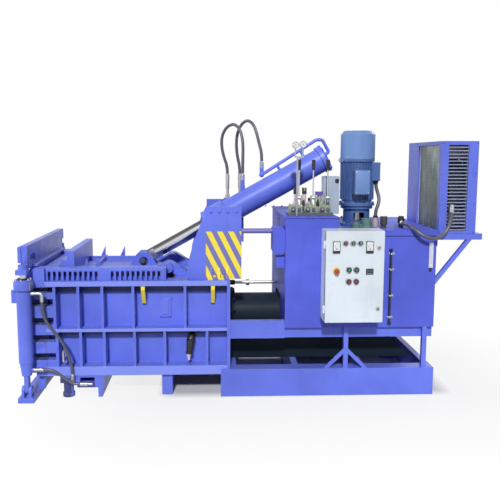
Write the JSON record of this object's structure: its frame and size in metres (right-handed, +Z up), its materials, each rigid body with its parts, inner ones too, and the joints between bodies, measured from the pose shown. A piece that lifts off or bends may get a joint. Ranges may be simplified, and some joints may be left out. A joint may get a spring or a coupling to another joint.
{
  "type": "recycling baler",
  "caption": "Hydraulic scrap baler with a ribbed pressing chamber, folding lid, lifting end door, horizontal ram and an end-mounted power pack.",
  "frame": {"origin": "centre of the four foundation-bolt holes in the base frame, at floor level", "axes": "+X along the ram's axis from the discharge door towards the power pack, +Z up, -Y towards the operator's side"},
  "size_m": [4.426, 1.735, 2.6835],
  "materials": {
    "paint": "satin periwinkle enamel",
    "paint_dark": "dark primer",
    "motor_paint": "satin blue-grey enamel",
    "off_white": "satin off-white powder coat",
    "chrome": "hard chrome, ground",
    "steel": "bright machined steel",
    "zinc": "zinc-plated",
    "valve_green": "grey-green painted castings",
    "pump_green": "green-grey casting",
    "rubber": "matt black hose cover",
    "black_plastic": "matt black moulding",
    "green_plastic": "gloss green cap",
    "red_plastic": "gloss red cap",
    "violet_plastic": "violet knob",
    "aluminium": "finned core",
    "panel_parts": "dark instruments",
    "wear_steel": "worn wear plates"
  },
  "bodies": {
    "frame": {"base_frame": "paint", "bell_housing": "motor_paint", "cabinet": "paint", "chamber_floor": "wear_steel", "comb_bolts": "steel", "combs": "paint", "cooler_core": "aluminium", "cooler_frame": "paint", "cooler_grille": "paint", "cooler_platform": "paint", "cover_plate": "paint", "door_cylinders": "paint", "door_guides": "paint", "end_frame": "paint", "fan_cover": "motor_paint", "foot_beam": "paint", "gauges": "steel", "hose_cooler": "rubber", "hose_door_lower": "rubber", "hose_door_upper": "rubber", "hose_fittings": "zinc", "hose_lid_a": "rubber", "hose_lid_b": "rubber", "isolator_box": "off_white", "lid_hinges": "paint", "main_cylinder": "paint_dark", "motor_body": "motor_paint", "motor_conduit": "rubber", "panel_case": "off_white", "pressure_pipe": "steel", "side_beams": "paint", "side_far": "paint", "side_near": "paint", "suction_block": "pump_green", "tank": "paint", "tank_fittings": "black_plastic", "thrust_frame": "paint_dark", "tower_bridge": "paint", "tower_plates": "paint", "under_frame": "paint", "valve_bank": "valve_green"},
    "door": {"door_plate": "paint"},
    "lid": {"lid_plate": "paint"},
    "lid_barrel": {"lid_barrel": "paint"},
    "lid_rod": {"lid_rod": "chrome"},
    "ram": {"ram_platen": "paint"},
    "lever_1": {"lever_1": "steel"},
    "lever_2": {"lever_2": "steel"},
    "lever_3": {"lever_3": "steel"},
    "panel_door": {"panel_door": "off_white", "panel_trim": "panel_parts"},
    "button_green_left": {"button_green_left": "green_plastic"},
    "button_green_right": {"button_green_right": "green_plastic"},
    "button_red_left": {"button_red_left": "red_plastic"},
    "button_red_right": {"button_red_right": "red_plastic"},
    "e_stop": {"e_stop": "red_plastic"},
    "relief_knob": {"relief_knob": "violet_plastic"},
    "motor_rotor": {"motor_rotor": "steel"},
    "cooler_fan": {"cooler_fan": "black_plastic"}
  },
  "joints": [
    {"name": "lid_hinge", "type": "hinge", "parent": "frame", "child": "lid", "pos_m": [-1.54, 0, 1.215], "axis": [0, 1, 0], "range_deg": [0, 65]},
    {"name": "lid_cyl_swing", "type": "hinge", "parent": "frame", "child": "lid_barrel", "pos_m": [-1.016, 0, 1.688], "axis": [0, 1, 0], "range_deg": [0, 11], "deforming": ["hose_lid_a", "hose_lid_b"]},
    {"name": "lid_rod_slide", "type": "slide", "parent": "lid_barrel", "child": "lid_rod", "axis": [0.8744, 0, 0.4852], "range_m": [0, 0.248]},
    {"name": "door_slide", "type": "slide", "parent": "frame", "child": "door", "axis": [0, 0, 1], "range_m": [0, 0.62]},
    {"name": "ram_slide", "type": "slide", "parent": "frame", "child": "ram", "axis": [-1, 0, 0], "range_m": [0, 0.98]},
    {"name": "panel_hinge", "type": "hinge", "parent": "frame", "child": "panel_door", "pos_m": [-0.089, -0.874, 1.204], "axis": [0, 0, -1], "range_deg": [0, 110]},
    {"name": "motor_spin", "type": "hinge", "parent": "frame", "child": "motor_rotor", "pos_m": [0.35, -0.2, 2], "axis": [0, 0, 1], "continuous": true},
    {"name": "cooler_fan_spin", "type": "hinge", "parent": "frame", "child": "cooler_fan", "pos_m": [1.236, -0.17, 2], "axis": [1, 0, 0], "continuous": true},
    {"name": "relief_turn", "type": "hinge", "parent": "frame", "child": "relief_knob", "pos_m": [-0.071, -0.43, 1.9], "axis": [0, 0, 1], "continuous": true},
    {"name": "lever_1_tilt", "type": "hinge", "parent": "frame", "child": "lever_1", "pos_m": [-0.268, -0.43, 1.902], "axis": [1, 0, 0], "range_deg": [-12, 12], "stiffness_Nm_per_rad": 12},
    {"name": "lever_2_tilt", "type": "hinge", "parent": "frame", "child": "lever_2", "pos_m": [-0.1285, -0.43, 1.902], "axis": [1, 0, 0], "range_deg": [-12, 12], "stiffness_Nm_per_rad": 12},
    {"name": "lever_3_tilt", "type": "hinge", "parent": "frame", "child": "lever_3", "pos_m": [0.011, -0.43, 1.902], "axis": [1, 0, 0], "range_deg": [-12, 12], "stiffness_Nm_per_rad": 12},
    {"name": "button_green_left_press", "type": "slide", "parent": "panel_door", "child": "button_green_left", "axis": [0, 1, 0], "range_m": [0, 0.005], "stiffness_N_per_m": 600},
    {"name": "button_green_right_press", "type": "slide", "parent": "panel_door", "child": "button_green_right", "axis": [0, 1, 0], "range_m": [0, 0.005], "stiffness_N_per_m": 600},
    {"name": "button_red_left_press", "type": "slide", "parent": "panel_door", "child": "button_red_left", "axis": [0, 1, 0], "range_m": [0, 0.005], "stiffness_N_per_m": 600},
    {"name": "button_red_right_press", "type": "slide", "parent": "panel_door", "child": "button_red_right", "axis": [0, 1, 0], "range_m": [0, 0.005], "stiffness_N_per_m": 600},
    {"name": "e_stop_press", "type": "slide", "parent": "panel_door", "child": "e_stop", "axis": [0, 1, 0], "range_m": [0, 0.006], "stiffness_N_per_m": 1200}
  ],
  "couplings": [
    {"joint": "lid_cyl_swing", "follows": "lid_hinge", "ratio": 0.16587},
    {"joint": "lid_rod_slide", "follows": "lid_hinge", "m_per_rad": 0.21722}
  ]
}
